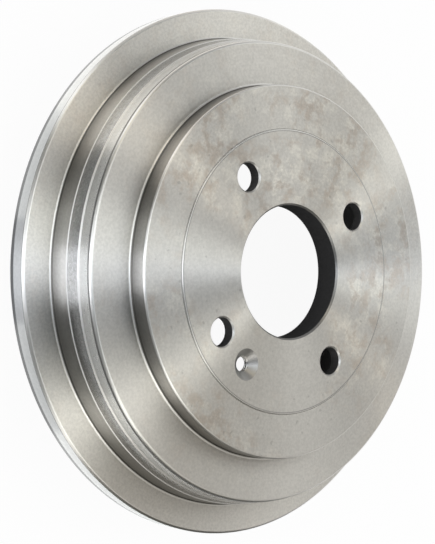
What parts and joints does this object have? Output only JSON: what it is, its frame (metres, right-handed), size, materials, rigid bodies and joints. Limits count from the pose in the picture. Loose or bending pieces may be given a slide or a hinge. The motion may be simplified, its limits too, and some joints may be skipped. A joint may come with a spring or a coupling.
{
  "type": "brake drum",
  "caption": "One-piece cast-iron rear brake drum with a stepped round wall, a wide flange, a centre bore, wheel stud holes and a countersunk screw hole.",
  "frame": {"origin": "centre of the open rim's plane, which the drum lies on", "axes": "+Z along the axle axis, out of the wheel face; the stud holes stand at 45 degrees to X and Y"},
  "size_m": [0.2496, 0.2496, 0.067],
  "materials": {
    "turned_iron": "turned all over, bare metal"
  },
  "bodies": {
    "root": {"brake_drum": "turned_iron"}
  },
  "joints": []
}
